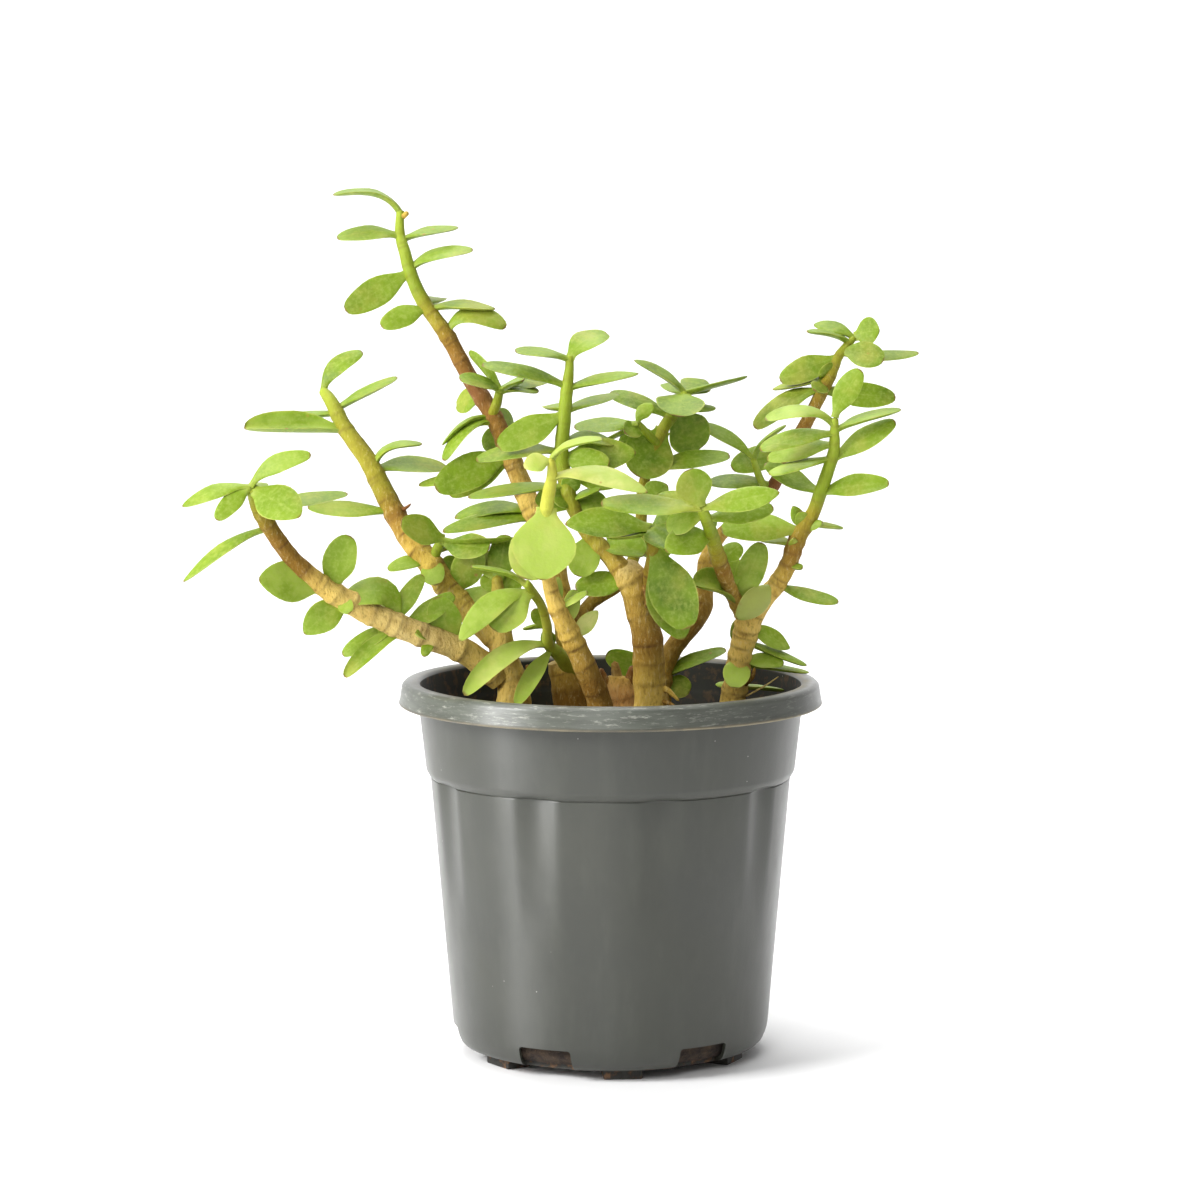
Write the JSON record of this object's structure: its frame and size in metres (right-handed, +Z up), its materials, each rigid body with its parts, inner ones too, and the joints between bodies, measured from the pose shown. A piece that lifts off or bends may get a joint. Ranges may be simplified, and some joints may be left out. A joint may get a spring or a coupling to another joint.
{
  "type": "potted jade plant",
  "caption": "Young jade plant with woody stems and thick rounded leaves, standing in soil in a round tapered plastic nursery pot with a turned-down lip and drain notches.",
  "frame": {"origin": "on the pot's axis at floor level, the centre of the flat foot that the pot rests on", "axes": "+Z up along the pot's axis, -Y towards the front that the picture shows, +X towards the front's right"},
  "size_m": [0.2804, 0.163, 0.328],
  "materials": {
    "pot_plastic": "dark grey thin moulded plastic with a soft sheen, scuffed and dusty at the lip",
    "potting_soil": null,
    "jade_leaf_and_bark": "fleshy smooth green leaves with a waxy sheen on tan, ringed, woody stems",
    "dry_bark": "dry tan bark, dull"
  },
  "bodies": {
    "root": {"pot": "pot_plastic", "soil": "potting_soil", "left_leafy_stem": "jade_leaf_and_bark", "tall_leafy_stem": "jade_leaf_and_bark", "front_leafy_stem": "jade_leaf_and_bark", "middle_leafy_stem": "jade_leaf_and_bark", "back_leafy_stem": "jade_leaf_and_bark", "right_leafy_stem": "jade_leaf_and_bark", "died_back_stub": "dry_bark"}
  },
  "joints": []
}
